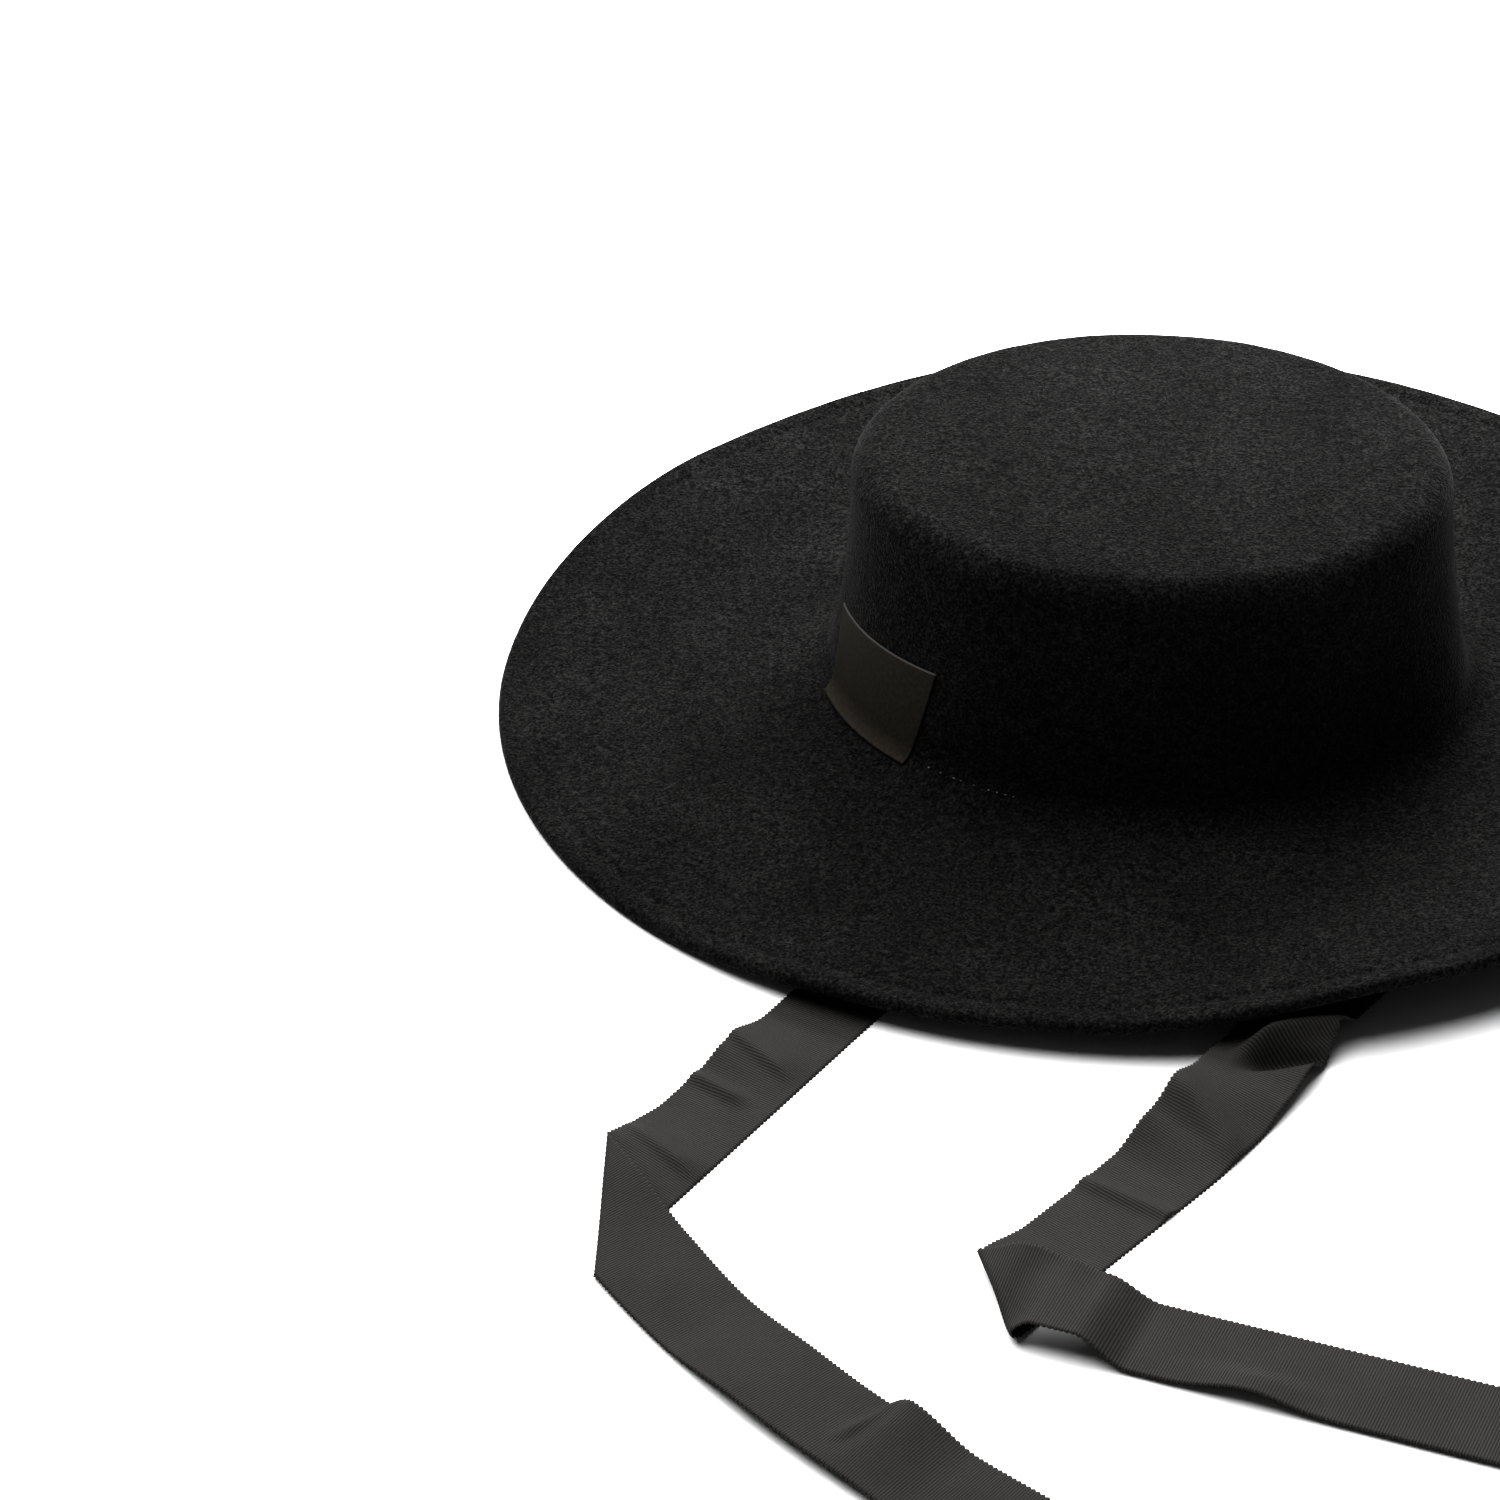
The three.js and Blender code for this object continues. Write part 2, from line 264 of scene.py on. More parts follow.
def felt_material():
    material, tree, shader = new_material("black_wool_felt")
    place = add_node(tree, "TexCoord").outputs["Object"]
    fine = add_node(tree, "TexNoise", {"Vector": place, "Scale": 1050, "Detail": 2, "Roughness": 0.6})
    clumps = add_node(tree, "TexNoise", {"Vector": place, "Scale": 420, "Detail": 2})
    mottle = add_node(tree, "TexNoise", {"Vector": place, "Scale": 26, "Detail": 3})
    coarse = add_node(tree, "Math", {0: clumps.outputs["Fac"], 1: 1 - FINE_SHARE}, operation="MULTIPLY")
    speckle = add_node(
        tree,
        "Math",
        {0: fine.outputs["Fac"], 1: FINE_SHARE, 2: coarse.outputs[0]},
        operation="MULTIPLY_ADD",
    )
    grain = colour_ramp(
        tree, speckle.outputs[0], [(0.38, FELT_DARK), (0.5, FELT_MID), (0.66, FELT_LINT)]
    )
    shade = colour_ramp(tree, mottle.outputs["Fac"], FELT_MOTTLE)
    colour = add_node(
        tree, "Mix", {"Factor": 1, 6: grain, 7: shade}, data_type="RGBA", blend_type="MULTIPLY"
    )
    tree.links.new(colour.outputs[2], shader.inputs["Base Color"])
    bump = add_node(tree, "Bump", {"Height": speckle.outputs[0], "Strength": 1, "Distance": MM})
    tree.links.new(bump.outputs["Normal"], shader.inputs["Normal"])
    shader.inputs["Roughness"].default_value = 0.95
    shader.inputs["Specular IOR Level"].default_value = 0.06
    shader.inputs["Sheen Weight"].default_value = 0.08
    shader.inputs["Sheen Roughness"].default_value = 0.2
    shader.inputs["Sheen Tint"].default_value = (0.85, 0.85, 0.86, 1)
    return material


def roughen(felt):
    """The slight unevenness of hand-shaped felt, on faces that look up and on both sides of the wall."""
    felt.normal_update()
    for vert in felt.verts:
        smooth_at = -1 if vert.co.z > WALL_FROM * MM else 0
        share = ease(vert.normal.z, smooth_at, smooth_at + 1)
        rise = sum(noise.noise(vert.co / (wide * MM)) * deep for wide, deep in UNEVEN)
        vert.co += vert.normal * rise * share * MM
        vert.co.z = max(0, vert.co.z)


def felt_body():
    hood = bmesh.new()
    chain = [hood.verts.new((point.x, 0, point.y)) for point in felt_section()]
    for start, stop in zip(chain, chain[1:]):
        hood.edges.new((start, stop))
    bmesh.ops.spin(
        hood,
        geom=hood.verts[:] + hood.edges[:],
        cent=(0, 0, 0),
        axis=(0, 0, 1),
        angle=2 * math.pi,
        steps=FELT_ROUND,
        use_merge=True,
    )
    bmesh.ops.remove_doubles(hood, verts=hood.verts, dist=MERGE_WITHIN)
    bmesh.ops.recalc_face_normals(hood, faces=hood.faces)
    for vert in hood.verts:
        angle = math.atan2(vert.co.y, vert.co.x)
        vert.co = lay_felt(math.hypot(vert.co.x, vert.co.y), angle, vert.co.z)
    bmesh.ops.scale(hood, vec=(MM, MM, MM), verts=hood.verts)
    roughen(hood)
    return finished("felt_hood", hood, felt_material())


hood_piece = felt_body()
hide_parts("felt_body")


# Felt nap
# The felt isn't shaved: short loose ends of wool stand out of its outer face, thin enough to show
# only as pale flecks and as a soft halo along the crown's outline.
NAP_FIBRES = 46000
NAP_LONG = (0.5, 1.3)
NAP_HALF_THICK = 0.04
NAP_LEAN = 1.1
NAP_SEED = 7
NAP_DARK = (0.012, 0.0118, 0.0115)
NAP_PALE = (0.120, 0.118, 0.115)


def nap_material():
    material, tree, shader = new_material("wool_ends")
    place = add_node(tree, "TexCoord").outputs["Object"]
    patches = add_node(tree, "TexNoise", {"Vector": place, "Scale": 500, "Detail": 1})
    colour = colour_ramp(tree, patches.outputs["Fac"], [(0.45, NAP_DARK), (0.75, NAP_PALE)])
    tree.links.new(colour, shader.inputs["Base Color"])
    shader.inputs["Roughness"].default_value = 0.9
    shader.inputs["Specular IOR Level"].default_value = 0.1
    return material


def nap_face():
    """A sheet over the hood's outer side, which is what the nap stands on."""
    outside = felt_outside()
    rows = len(outside) - 1
    sheet = bmesh.new()
    bmesh.ops.create_grid(sheet, x_segments=FELT_ROUND, y_segments=rows, size=1)
    for vert in sheet.verts:
        spot = outside[round((vert.co.y + 1) / 2 * rows)]
        vert.co = lay_felt(spot.x, -math.pi * vert.co.x, spot.y) * MM
    roughen(sheet)
    return sheet


def random_between(tree, low, high, seed):
    made = tree.nodes.new("FunctionNodeRandomValue")
    made.data_type = "FLOAT_VECTOR"
    made.inputs["Min"].default_value = low
    made.inputs["Max"].default_value = high
    made.inputs["Seed"].default_value = seed
    return made.outputs["Value"]


def nap_nodes(area):
    """Geometry nodes that strew thin cones over a face and leave only the cones."""
    tree = bpy.data.node_groups.new("nap", "GeometryNodeTree")
    tree.interface.new_socket("Face", in_out="INPUT", socket_type="NodeSocketGeometry")
    tree.interface.new_socket("Nap", in_out="OUTPUT", socket_type="NodeSocketGeometry")
    face = tree.nodes.new("NodeGroupInput")
    strew = tree.nodes.new("GeometryNodeDistributePointsOnFaces")
    strew.inputs["Density"].default_value = NAP_FIBRES / area
    strew.inputs["Seed"].default_value = NAP_SEED
    cone = tree.nodes.new("GeometryNodeMeshCone")
    cone.fill_type = "NONE"
    cone.inputs["Vertices"].default_value = 3
    cone.inputs["Radius Bottom"].default_value = NAP_HALF_THICK * MM
    cone.inputs["Depth"].default_value = MM
    lean = random_between(
        tree, (-NAP_LEAN, -NAP_LEAN, 0), (NAP_LEAN, NAP_LEAN, 2 * math.pi), NAP_SEED
    )
    length = random_between(tree, (1, 1, NAP_LONG[0]), (1, 1, NAP_LONG[1]), NAP_SEED + 1)
    turn = tree.nodes.new("FunctionNodeRotateRotation")
    turn.rotation_space = "LOCAL"
    stand = tree.nodes.new("GeometryNodeInstanceOnPoints")
    solid = tree.nodes.new("GeometryNodeRealizeInstances")
    nap = tree.nodes.new("NodeGroupOutput")
    tree.links.new(face.outputs["Face"], strew.inputs["Mesh"])
    tree.links.new(strew.outputs["Rotation"], turn.inputs["Rotation"])
    tree.links.new(lean, turn.inputs["Rotate By"])
    tree.links.new(strew.outputs["Points"], stand.inputs["Points"])
    tree.links.new(cone.outputs["Mesh"], stand.inputs["Instance"])
    tree.links.new(turn.outputs["Rotation"], stand.inputs["Rotation"])
    tree.links.new(length, stand.inputs["Scale"])
    tree.links.new(stand.outputs["Instances"], solid.inputs["Geometry"])
    tree.links.new(solid.outputs["Geometry"], nap.inputs["Nap"])
    return tree


def felt_nap():
    sheet = nap_face()
    area = sum(face.calc_area() for face in sheet.faces)
    mesh = bpy.data.meshes.new("nap_face")
    sheet.to_mesh(mesh)
    sheet.free()
    holder = bpy.data.objects.new("nap_face", mesh)
    bpy.context.collection.objects.link(holder)
    holder.modifiers.new("nap", "NODES").node_group = nap_nodes(area)
    strewn = bmesh.new()
    strewn.from_object(holder, bpy.context.evaluated_depsgraph_get())
    bpy.data.objects.remove(holder)
    for vert in strewn.verts:
        vert.co.z = max(0, vert.co.z)
    return finished("felt_nap", strewn, nap_material())


felt_nap()


# Label
# A bare satin label, woven close and smooth, that wraps the foot of the crown. It is cut from a
# woven tape and fixed flat against the felt; its top edge is painted paler, a painted highlight
# where that edge catches the light from above.
LABEL_LONG = 56
LABEL_TALL = 31
LABEL_THICK = 0.5
LABEL_SEAT = 0.15
LABEL_FOOT = [(202, 6), (232, 6.5)]  # the left and right corners: angle, and distance up the felt
LABEL_HEAD = [(199, 36), (236, 40)]
LABEL_ROUND = 96
LABEL_UP = 48
SATIN_PITCH = 0.45
SATIN_DARK = (0.0155, 0.0129, 0.0097)
SATIN_LIGHT = (0.0285, 0.0241, 0.0185)
# the colour of the painted highlight along the label's top edge, where it catches the light from above
PAINTED_EDGE_HIGHLIGHT = (0.060, 0.056, 0.052)
PAINTED_EDGE_HIGHLIGHT_FROM = 0.5
PAINTED_EDGE_HIGHLIGHT_FULL = 0.3
TWILL_SHARE = 0.15


def on_crown(up, angle, proud):
    """A point on the felt's outer face, a distance up from the brim and proud of the felt."""
    on_wall = up - BREAK_RADIUS * (math.pi / 2 - BRIM_SLOPE - LEAN_FOOT)
    if on_wall < 0:
        centre, radius = BREAK_CENTRE, BREAK_RADIUS
    else:
        centre, radius = WALL_CENTRE, WALL_RADIUS
    spot = centre + facing(LEAN_FOOT - on_wall / radius) * (proud - radius)
    return lay_felt(spot.x, angle, spot.y) * MM


def close_slab(sheet, thick):
    """Makes a closed slab of a level sheet, its lower face the mirror image of its upper one."""
    lower = bmesh.ops.duplicate(sheet, geom=sheet.faces[:])["geom"]
    bmesh.ops.translate(sheet, vec=(0, 0, thick / 2), verts=sheet.verts)
    lower_verts = [item for item in lower if isinstance(item, bmesh.types.BMVert)]
    bmesh.ops.scale(sheet, vec=(1, 1, -1), verts=lower_verts)
    bmesh.ops.bridge_loops(sheet, edges=[edge for edge in sheet.edges if edge.is_boundary])
    bmesh.ops.recalc_face_normals(sheet, faces=sheet.faces)


def keep_flat_map(sheet):
    """Keeps each point's place on the flat cloth, in metres, as the map that the weave follows."""
    flat_map = sheet.loops.layers.uv.new("flat")
    for face in sheet.faces:
        for loop in face.loops:
            loop[flat_map].uv = loop.vert.co.xy * MM


def satin_material():
    material, tree, shader = new_material("bare_satin")
    flat = add_node(tree, "UVMap", uv_map="flat").outputs["UV"]
    split = add_node(tree, "SeparateXYZ", {"Vector": flat})
    slant = add_node(
        tree, "Math", {0: split.outputs["X"], 1: 2, 2: split.outputs["Y"]}, operation="MULTIPLY_ADD"
    )
    turns = 2 * math.pi / (SATIN_PITCH * MM)
    phase = add_node(tree, "Math", {0: slant.outputs[0], 1: turns}, operation="MULTIPLY")
    twill = add_node(tree, "Math", {0: phase.outputs[0]}, operation="SINE")
    yarn = add_node(tree, "TexNoise", {"Vector": flat, "Scale": 700, "Detail": 3})
    tone = add_node(
        tree,
        "Math",
        {0: twill.outputs[0], 1: TWILL_SHARE, 2: yarn.outputs["Fac"]},
        operation="MULTIPLY_ADD",
    )
    ground = colour_ramp(tree, tone.outputs[0], [(0.3, SATIN_DARK), (0.75, SATIN_LIGHT)])
    # the painted highlight: the colour turns paler towards the label's top edge
    edge = add_node(
        tree,
        "MapRange",
        {
            "Value": split.outputs["Y"],
            "From Min": (LABEL_TALL / 2 - PAINTED_EDGE_HIGHLIGHT_FROM) * MM,
            "From Max": (LABEL_TALL / 2 - PAINTED_EDGE_HIGHLIGHT_FULL) * MM,
        },
    )
    colour = add_node(
        tree, "Mix", {"Factor": edge.outputs[0], 6: ground, 7: (*PAINTED_EDGE_HIGHLIGHT, 1)}, data_type="RGBA"
    )
    tree.links.new(colour.outputs[2], shader.inputs["Base Color"])
    bump = add_node(tree, "Bump", {"Height": tone.outputs[0], "Strength": 0.25, "Distance": 0.0001})
    tree.links.new(bump.outputs["Normal"], shader.inputs["Normal"])
    shader.inputs["Roughness"].default_value = 0.6
    shader.inputs["Specular IOR Level"].default_value = 0.15
    return material


def sewn_label():
    tape = bmesh.new()
    bmesh.ops.create_grid(tape, x_segments=LABEL_ROUND, y_segments=LABEL_UP, size=1)
    bmesh.ops.scale(tape, vec=(LABEL_LONG / 2, LABEL_TALL / 2, 1), verts=tape.verts)
    close_slab(tape, LABEL_THICK)
    keep_flat_map(tape)
    for vert in tape.verts:
        across = vert.co.x / LABEL_LONG + 0.5
        foot = Vector(LABEL_FOOT[0]).lerp(LABEL_FOOT[1], across)
        head = Vector(LABEL_HEAD[0]).lerp(LABEL_HEAD[1], across)
        angle, up = foot.lerp(head, vert.co.y / LABEL_TALL + 0.5)
        proud = LABEL_SEAT + LABEL_THICK / 2 + vert.co.z
        vert.co = on_crown(up, math.radians(angle), proud)
    return finished("bare_label", tape, satin_material())


label_piece = sewn_label()
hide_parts("label")


# Foot stitches
# A short row of hand stitches in pale thread at the foot of the crown, where a ribbon's end is
# sewn to the inside of the felt and the thread comes through.
STITCH_UP = 9.4
STITCHES = [  # the angle round the crown, and half the length of the thread that shows
    (237.2, 0.5),
    (239.9, 0.35),
    (242.8, 0.6),
    (244.3, 0.4),
    (247, 0.35),
    (249.9, 0.55),
    (251.6, 0.4),
    (253.2, 0.5),
    (254.7, 0.3),
]
STITCH_THICK = 0.6
SMALL_TURN = 0.01
THREAD_DARK = (0.02, 0.019, 0.018)
THREAD_PALE = (0.12, 0.116, 0.112)


def thread_material():
    material, tree, shader = new_material("pale_thread")
    place = add_node(tree, "TexCoord").outputs["Object"]
    ply = add_node(tree, "TexNoise", {"Vector": place, "Scale": 2200, "Detail": 2})
    colour = colour_ramp(tree, ply.outputs["Fac"], [(0.35, THREAD_DARK), (0.65, THREAD_PALE)])
    tree.links.new(colour, shader.inputs["Base Color"])
    bump = add_node(tree, "Bump", {"Height": ply.outputs["Fac"], "Strength": 0.4, "Distance": 0.0001})
    tree.links.new(bump.outputs["Normal"], shader.inputs["Normal"])
    shader.inputs["Roughness"].default_value = 0.6
    return material


def foot_stitches():
    row = bmesh.new()
    for degrees, half_length in STITCHES:
        angle = math.radians(degrees)
        centre = on_crown(STITCH_UP, angle, 0)
        along = (on_crown(STITCH_UP, angle + SMALL_TURN, 0) - centre).normalized()
        outward = (on_crown(STITCH_UP, angle, 1) - centre).normalized()
        across = outward.cross(along)
        half = Vector((half_length, STITCH_THICK / 2, STITCH_THICK / 2)) * MM
        axes = Matrix((along * half.x, across * half.y, outward * half.z)).transposed()
        place = Matrix.Translation(centre) @ axes.to_4x4()
        bmesh.ops.create_uvsphere(row, u_segments=10, v_segments=6, radius=1, matrix=place)
    bmesh.ops.recalc_face_normals(row, faces=row.faces)
    return finished("foot_stitches", row, thread_material())


foot_stitches()


# Ribbons
# Two long ties of charcoal petersham, a cotton ribbon with close ribs across it and small looped
# teeth along both edges. Each is sewn inside the foot of the crown, comes out under the brim and
# lies on the table, turned over once where it shows. Drawn flat in millimetres.
RIBBON_WIDE = 28
RIBBON_THICK = 0.6
RIB_PITCH = 0.8
TOOTH_OUT = [0.3, 0.05, -0.25, 0.05]  # how far the edge stands out, row by row, four rows a tooth
ROW_PITCH = RIB_PITCH / 2
RIBBON_ACROSS = 28
PATH_STEP = 4
SEWN_GAP = 0.8
SEWN_BEND = BREAK_RADIUS + FELT + SEWN_GAP
TURN_OVER = {"fold": 180, "radius": 0.8}

# Along each ribbon, at is the distance from where it leaves the brim. The heights are those of its
# right and left edges. A crease is a ridge with its own height and its reach behind and ahead.
RIBBONS = {
    "ribbon_left": {
        "exit": (-63, -182),
        "heading": -112,
        "start": -130,
        "stop": 307,
        "turns": [
            {"at": -95.8, "skew": -12.5, "fold": 80, "radius": SEWN_BEND},
            {"at": -20, "swerve": 14.5, "radius": 300},
            {"at": 107, "skew": -58, **TURN_OVER},
            {"at": 130, "swerve": -16, "radius": 400},
        ],
        "heights": [
            {"at": -95.8, "right": 6, "left": 6},
            {"at": -60, "right": 0, "left": 0},
            {"at": 10, "right": 0, "left": 0},
            {"at": 32, "right": 3.6, "left": 0},
            {"at": 44, "right": 1.2, "left": 0},
            {"at": 60, "right": 1, "left": 0},
            {"at": 74, "right": 2.8, "left": 0},
            {"at": 86, "right": 7, "left": 0},
            {"at": 98, "right": 7, "left": 0},
            {"at": 132, "right": 2.5, "left": 0},
            {"at": 165, "right": 0.8, "left": 0},
            {"at": 196, "right": 3, "left": 3.2},
            {"at": 226, "right": 2.6, "left": 3.2},
            {"at": 235, "right": 8.5, "left": 3},
            {"at": 258, "right": 3, "left": 1},
            {"at": 290, "right": 4, "left": 0},
            {"at": 307, "right": 2, "left": 0},
        ],
        "creases": [
            {"at": 30, "skew": -14, "middle": 4, "half": 18, "height": 2, "behind": 8, "ahead": 2.6},
            {"at": 48, "skew": -6, "middle": 5, "half": 13, "height": 2, "behind": 2.6, "ahead": 2.6},
            {"at": 80, "skew": -10, "middle": 2, "half": 17, "height": 2.2, "behind": 6, "ahead": 3},
            {"at": 227.5, "skew": 9, "middle": 5, "half": 13, "height": 2.2, "behind": 2.4, "ahead": 2.4},
        ],
    },
    "ribbon_right": {
        "exit": (72, -165),
        "heading": -109,
        "start": -144,
        "stop": 345,
        "turns": [
            {"at": -108, "skew": -0.5, "fold": -80, "radius": SEWN_BEND},
            {"at": -73, "skew": -60, **TURN_OVER},
            {"at": 30, "swerve": -10, "radius": 300},
            {"at": 150, "skew": -36, **TURN_OVER},
        ],
        "heights": [
            {"at": -108, "right": 3, "left": 3},
            {"at": -75, "right": 0, "left": 0},
            {"at": -40, "right": 0, "left": 0},
            {"at": -4, "right": 6, "left": 4},
            {"at": 20, "right": 5, "left": 7.5},
            {"at": 38, "right": 7.5, "left": 4},
            {"at": 52, "right": 10, "left": 0.8},
            {"at": 66, "right": 6.5, "left": 0},
            {"at": 84, "right": 0.8, "left": 0},
            {"at": 100, "right": 0, "left": 0},
            {"at": 120, "right": 0, "left": 0},
            {"at": 140, "right": 3.5, "left": 0},
            {"at": 157, "right": 10, "left": 0.5},
            {"at": 168, "right": 8, "left": 8},
            {"at": 179, "right": 6, "left": 8},
            {"at": 194, "right": 0, "left": 0},
            {"at": 204, "right": 0, "left": 0},
            {"at": 222, "right": 0, "left": 1},
            {"at": 245, "right": 0, "left": 0},
            {"at": 345, "right": 0, "left": 0},
        ],
        "creases": [
            {"at": 19, "skew": 42.6, "middle": -6, "half": 16, "height": 6.5, "behind": 5, "ahead": 2.2},
            {"at": 26.5, "skew": 36, "middle": -7, "half": 14, "height": -6, "behind": 2.2, "ahead": 4},
            {"at": 58, "skew": -22, "middle": 0, "half": 20, "height": 2.4, "behind": 5, "ahead": 5},
            {"at": 95, "skew": 6, "middle": 0, "half": 24, "height": 1.6, "behind": 2.8, "ahead": 2.8},
            {"at": 228, "skew": 0, "middle": -14, "half": 13, "height": 2.8, "behind": 13, "ahead": 13},
        ],
    },
}


def fold_up(point, flat, at, skew, fold, radius):
    """Bends what lies beyond a crease, which is skewed to the ribbon's width, up and over."""
    way = math.copysign(1, at)
    up = math.copysign(1, fold)
    crease = Vector((math.cos(math.radians(skew)), math.sin(math.radians(skew)), 0))
    onward = Vector((-crease.y, crease.x, 0)) * way
    axis_point = Vector((0, at, up * radius))
    past = (flat - axis_point).dot(onward)
    if past <= 0:
        return point
    bent = min(past, radius * math.radians(abs(fold)))
    turned = Matrix.Rotation(up * bent / radius, 3, crease * way)
    return turned @ (point - onward * bent - axis_point) + axis_point


def swerve_round(point, flat, at, swerve, radius):
    """Curves what lies beyond a place to the left, in the ribbon's own plane."""
    way = math.copysign(1, at)
    side = math.copysign(1, swerve)
    past = (flat.y - at) * way
    if past <= 0:
        return point
    bent = min(past, radius * math.radians(abs(swerve)))
    centre = Vector((-way * side * radius, at, 0))
    turned = Matrix.Rotation(side * bent / radius, 3, "Z")
    return turned @ (point - Vector((0, way * bent, 0)) - centre) + centre


CREASE_FULL = 0.4


def crease_lift(flat, at, skew, middle, half, height, behind, ahead):
    """A low ridge where the ribbon was creased, skewed to its width and over part of it."""
    slope = math.radians(skew)
    away = (flat.y - at - flat.x * math.tan(slope)) * math.cos(slope)
    away /= ahead if away > 0 else behind
    window = 1 - ease(abs(flat.x - middle), half * CREASE_FULL, half)
    return height * window * math.exp(-away * away)


def lay_ribbon(flat, route):
    """From the flat ribbon, along +Y from where it leaves the brim, to where it lies."""
    point = flat.copy()
    for turn in sorted(route["turns"], key=lambda turn: -abs(turn["at"])):
        bend = fold_up if "fold" in turn else swerve_round
        point = bend(point, flat, **turn)
    left = between(route["heights"], flat.y, "left")
    right = between(route["heights"], flat.y, "right")
    point.z += lerp(left, right, flat.x / RIBBON_WIDE + 0.5) + RIBBON_THICK / 2
    point.z += sum(crease_lift(flat, **crease) for crease in route["creases"])
    heading = Matrix.Rotation(math.radians(route["heading"] - 90), 3, "Z")
    return (heading @ point + Vector((*route["exit"], 0))) * MM


# The ribbon's two colours carry painted shade and painted highlight: darker in the grooves between the
# ribs, paler on their crests, mixed with the random yarn and wear tone.
RIBBON_DARK_AND_GROOVE_SHADE = (0.0168, 0.0163, 0.0157)
RIBBON_PALE_AND_CREST_HIGHLIGHT = (0.0440, 0.0429, 0.0415)
RIB_SHADE_SHARE = 0.6
YARN_SHARE = 0.4
WEAR_SHARE = 0.25


def ribbon_material():
    material, tree, shader = new_material("charcoal_petersham")
    flat = add_node(tree, "UVMap", uv_map="flat").outputs["UV"]
    split = add_node(tree, "SeparateXYZ", {"Vector": flat})
    ribs = add_node(
        tree,
        "Math",
        {0: split.outputs["Y"], 1: 2 * math.pi / (RIB_PITCH * MM)},
        operation="MULTIPLY",
    )
    wave = add_node(tree, "Math", {0: ribs.outputs[0]}, operation="COSINE")
    threads = add_node(tree, "Mapping", {"Vector": flat, "Scale": (3800, 700, 1)})
    yarn = add_node(tree, "TexNoise", {"Vector": threads.outputs[0], "Scale": 1, "Detail": 2})
    wear = add_node(tree, "TexNoise", {"Vector": flat, "Scale": 55, "Detail": 4})
    # the ribs' painted shade: the rib wave makes the colour darker in the grooves and paler on the crests
    level = add_node(
        tree, "MapRange", {"Value": wave.outputs[0], "From Min": -1, "To Min": 0, "To Max": RIB_SHADE_SHARE}
    )
    weave = add_node(
        tree,
        "Math",
        {0: yarn.outputs["Fac"], 1: YARN_SHARE, 2: level.outputs[0]},
        operation="MULTIPLY_ADD",
    )
    tone = add_node(
        tree,
        "Math",
        {0: wear.outputs["Fac"], 1: WEAR_SHARE, 2: weave.outputs[0]},
        operation="MULTIPLY_ADD",
    )
    colour = colour_ramp(tree, tone.outputs[0], [(0.3, RIBBON_DARK_AND_GROOVE_SHADE), (0.95, RIBBON_PALE_AND_CREST_HIGHLIGHT)])
    tree.links.new(colour, shader.inputs["Base Color"])
    bump = add_node(
        tree, "Bump", {"Height": weave.outputs[0], "Strength": 0.5, "Distance": 0.00012}
    )
    tree.links.new(bump.outputs["Normal"], shader.inputs["Normal"])
    shader.inputs["Roughness"].default_value = 0.8
    shader.inputs["Specular IOR Level"].default_value = 0.06
    return material


PETERSHAM = ribbon_material()


def tie_ribbon(node, route):
    length = route["stop"] - route["start"]
    rows = round(length / ROW_PITCH)
    strip = bmesh.new()
    bmesh.ops.create_grid(strip, x_segments=RIBBON_ACROSS, y_segments=rows, size=1)
    for vert in strip.verts:
        row = round((vert.co.y + 1) / 2 * rows)
        on_edge = math.isclose(abs(vert.co.x), 1, rel_tol=1e-3)
        tooth = TOOTH_OUT[row % len(TOOTH_OUT)] if on_edge else 0
        vert.co.x *= RIBBON_WIDE / 2 + tooth
        vert.co.y = lerp(route["start"], route["stop"], row / rows)
    close_slab(strip, RIBBON_THICK)
    keep_flat_map(strip)
    for vert in strip.verts:
        vert.co = lay_ribbon(vert.co, route)
    piece = finished("tie_" + node, strip, PETERSHAM)
    steps = round(length / PATH_STEP)
    path = [
        lay_ribbon(Vector((0, lerp(route["start"], route["stop"], i / steps), 0)), route)
        for i in range(steps + 1)
    ]
    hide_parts(node)


for ribbon_node, ribbon_route in RIBBONS.items():
    tie_ribbon(ribbon_node, ribbon_route)


# Camera
# It looks down on the hat from the front and a little from the right. The picture's right edge
# cuts the brim, and the left third of the picture is empty.
CAMERA_DOWN = 33.22
CAMERA_TURN = 14.5
CAMERA_ROLL = 2.85
CAMERA_AWAY = Vector((-0.12416, -0.0180, 1.545))
camera_data = bpy.data.cameras.new("camera")
camera_data.lens = 118.44
camera_data.sensor_width = 36
camera = bpy.data.objects.new("camera", camera_data)
camera.matrix_world = (
    Matrix.Rotation(math.radians(CAMERA_TURN), 4, "Z")
    @ Matrix.Rotation(math.radians(90 - CAMERA_DOWN), 4, "X")
    @ Matrix.Rotation(math.radians(-CAMERA_ROLL), 4, "Z")
    @ Matrix.Translation(CAMERA_AWAY)
)
bpy.context.collection.objects.link(camera)
bpy.context.scene.camera = camera


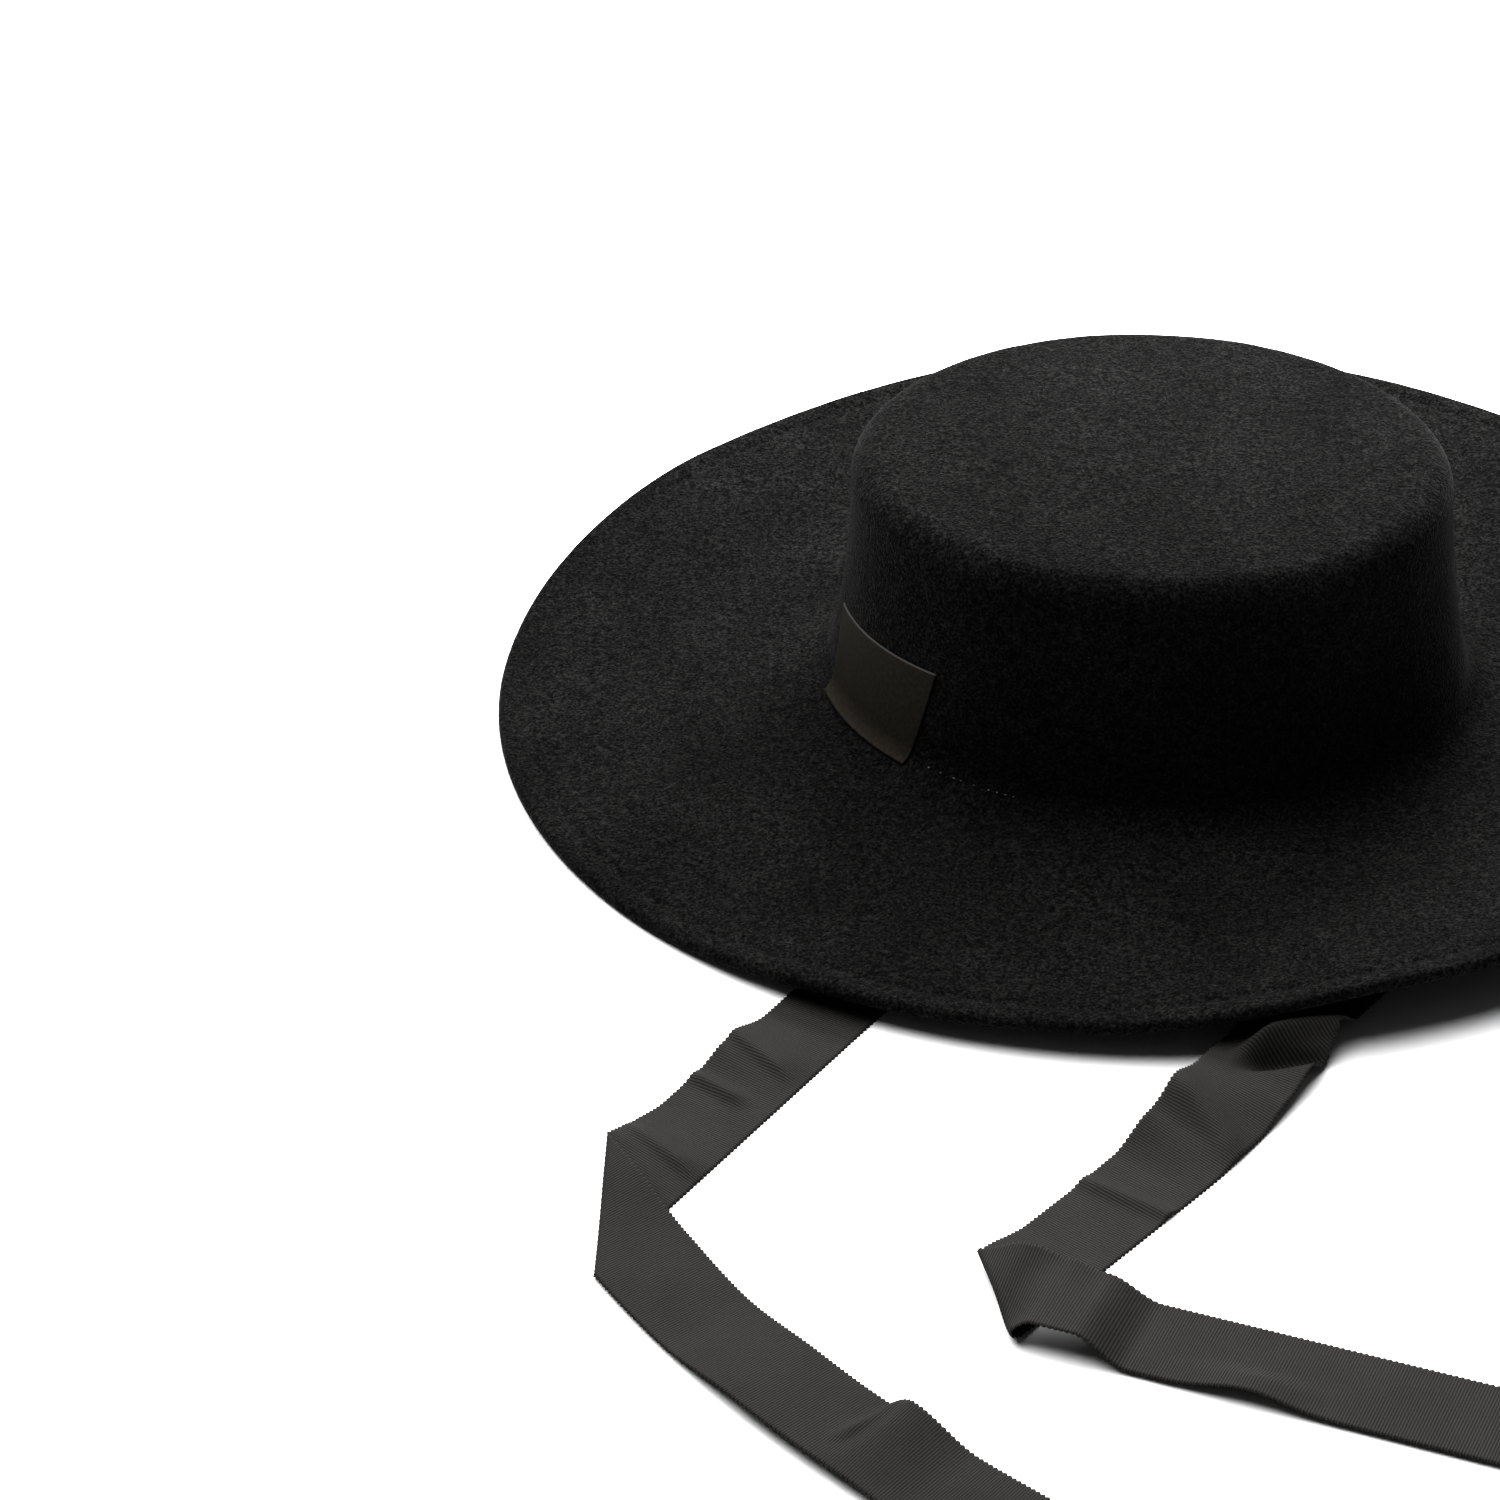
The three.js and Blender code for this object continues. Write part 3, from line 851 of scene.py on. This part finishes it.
# Table and light
# A plain white table that runs out of sight, under one broad soft light from above and the back
# left, a lamp behind the hat and a weak even fill, so that the front of the crown stays dark.
TABLE_SIZE = 8
LIGHT_STRENGTH = 5.1
LIGHT_SPREAD = math.radians(64)
LIGHT_TILT = math.radians(-19)
LIGHT_TURN = math.radians(56)
LAMP_PLACE = Vector((0, 0.33, 0.36))
LAMP_AIM = Vector((0, 0, 0.04))
LAMP_SIZE = 0.3
LAMP_POWER = 4.8
FILL = 0.09

table_material, _, table_shader = new_material("white_table")
table_shader.inputs["Base Color"].default_value = (0.85, 0.85, 0.85, 1)
table_shader.inputs["Roughness"].default_value = 0.9
table_shader.inputs["Specular IOR Level"].default_value = 0.1
table_grid = bmesh.new()
bmesh.ops.create_grid(table_grid, x_segments=8, y_segments=8, size=TABLE_SIZE / 2)
table_mesh = bpy.data.meshes.new("table")
table_grid.to_mesh(table_mesh)
table_grid.free()
table_mesh.materials.append(table_material)
table = bpy.data.objects.new("table", table_mesh)
bpy.context.collection.objects.link(table)

sun_data = bpy.data.lights.new("soft_light", "SUN")
sun_data.energy = LIGHT_STRENGTH
sun_data.angle = LIGHT_SPREAD
sun = bpy.data.objects.new("soft_light", sun_data)
sun.rotation_euler = (LIGHT_TILT, 0, LIGHT_TURN)
bpy.context.collection.objects.link(sun)

lamp_data = bpy.data.lights.new("near_lamp", "AREA")
lamp_data.shape = "DISK"
lamp_data.size = LAMP_SIZE
lamp_data.energy = LAMP_POWER
lamp = bpy.data.objects.new("near_lamp", lamp_data)
lamp.location = LAMP_PLACE
lamp.rotation_euler = (LAMP_AIM - LAMP_PLACE).to_track_quat("-Z", "Y").to_euler()
bpy.context.collection.objects.link(lamp)

world = bpy.data.worlds.new("studio")
world.use_nodes = True
world.node_tree.nodes["Background"].inputs["Color"].default_value = (1, 1, 1, 1)
world.node_tree.nodes["Background"].inputs["Strength"].default_value = FILL
bpy.context.scene.world = world
bpy.context.scene.view_settings.view_transform = "Standard"
bpy.context.scene.view_settings.look = "High Contrast"
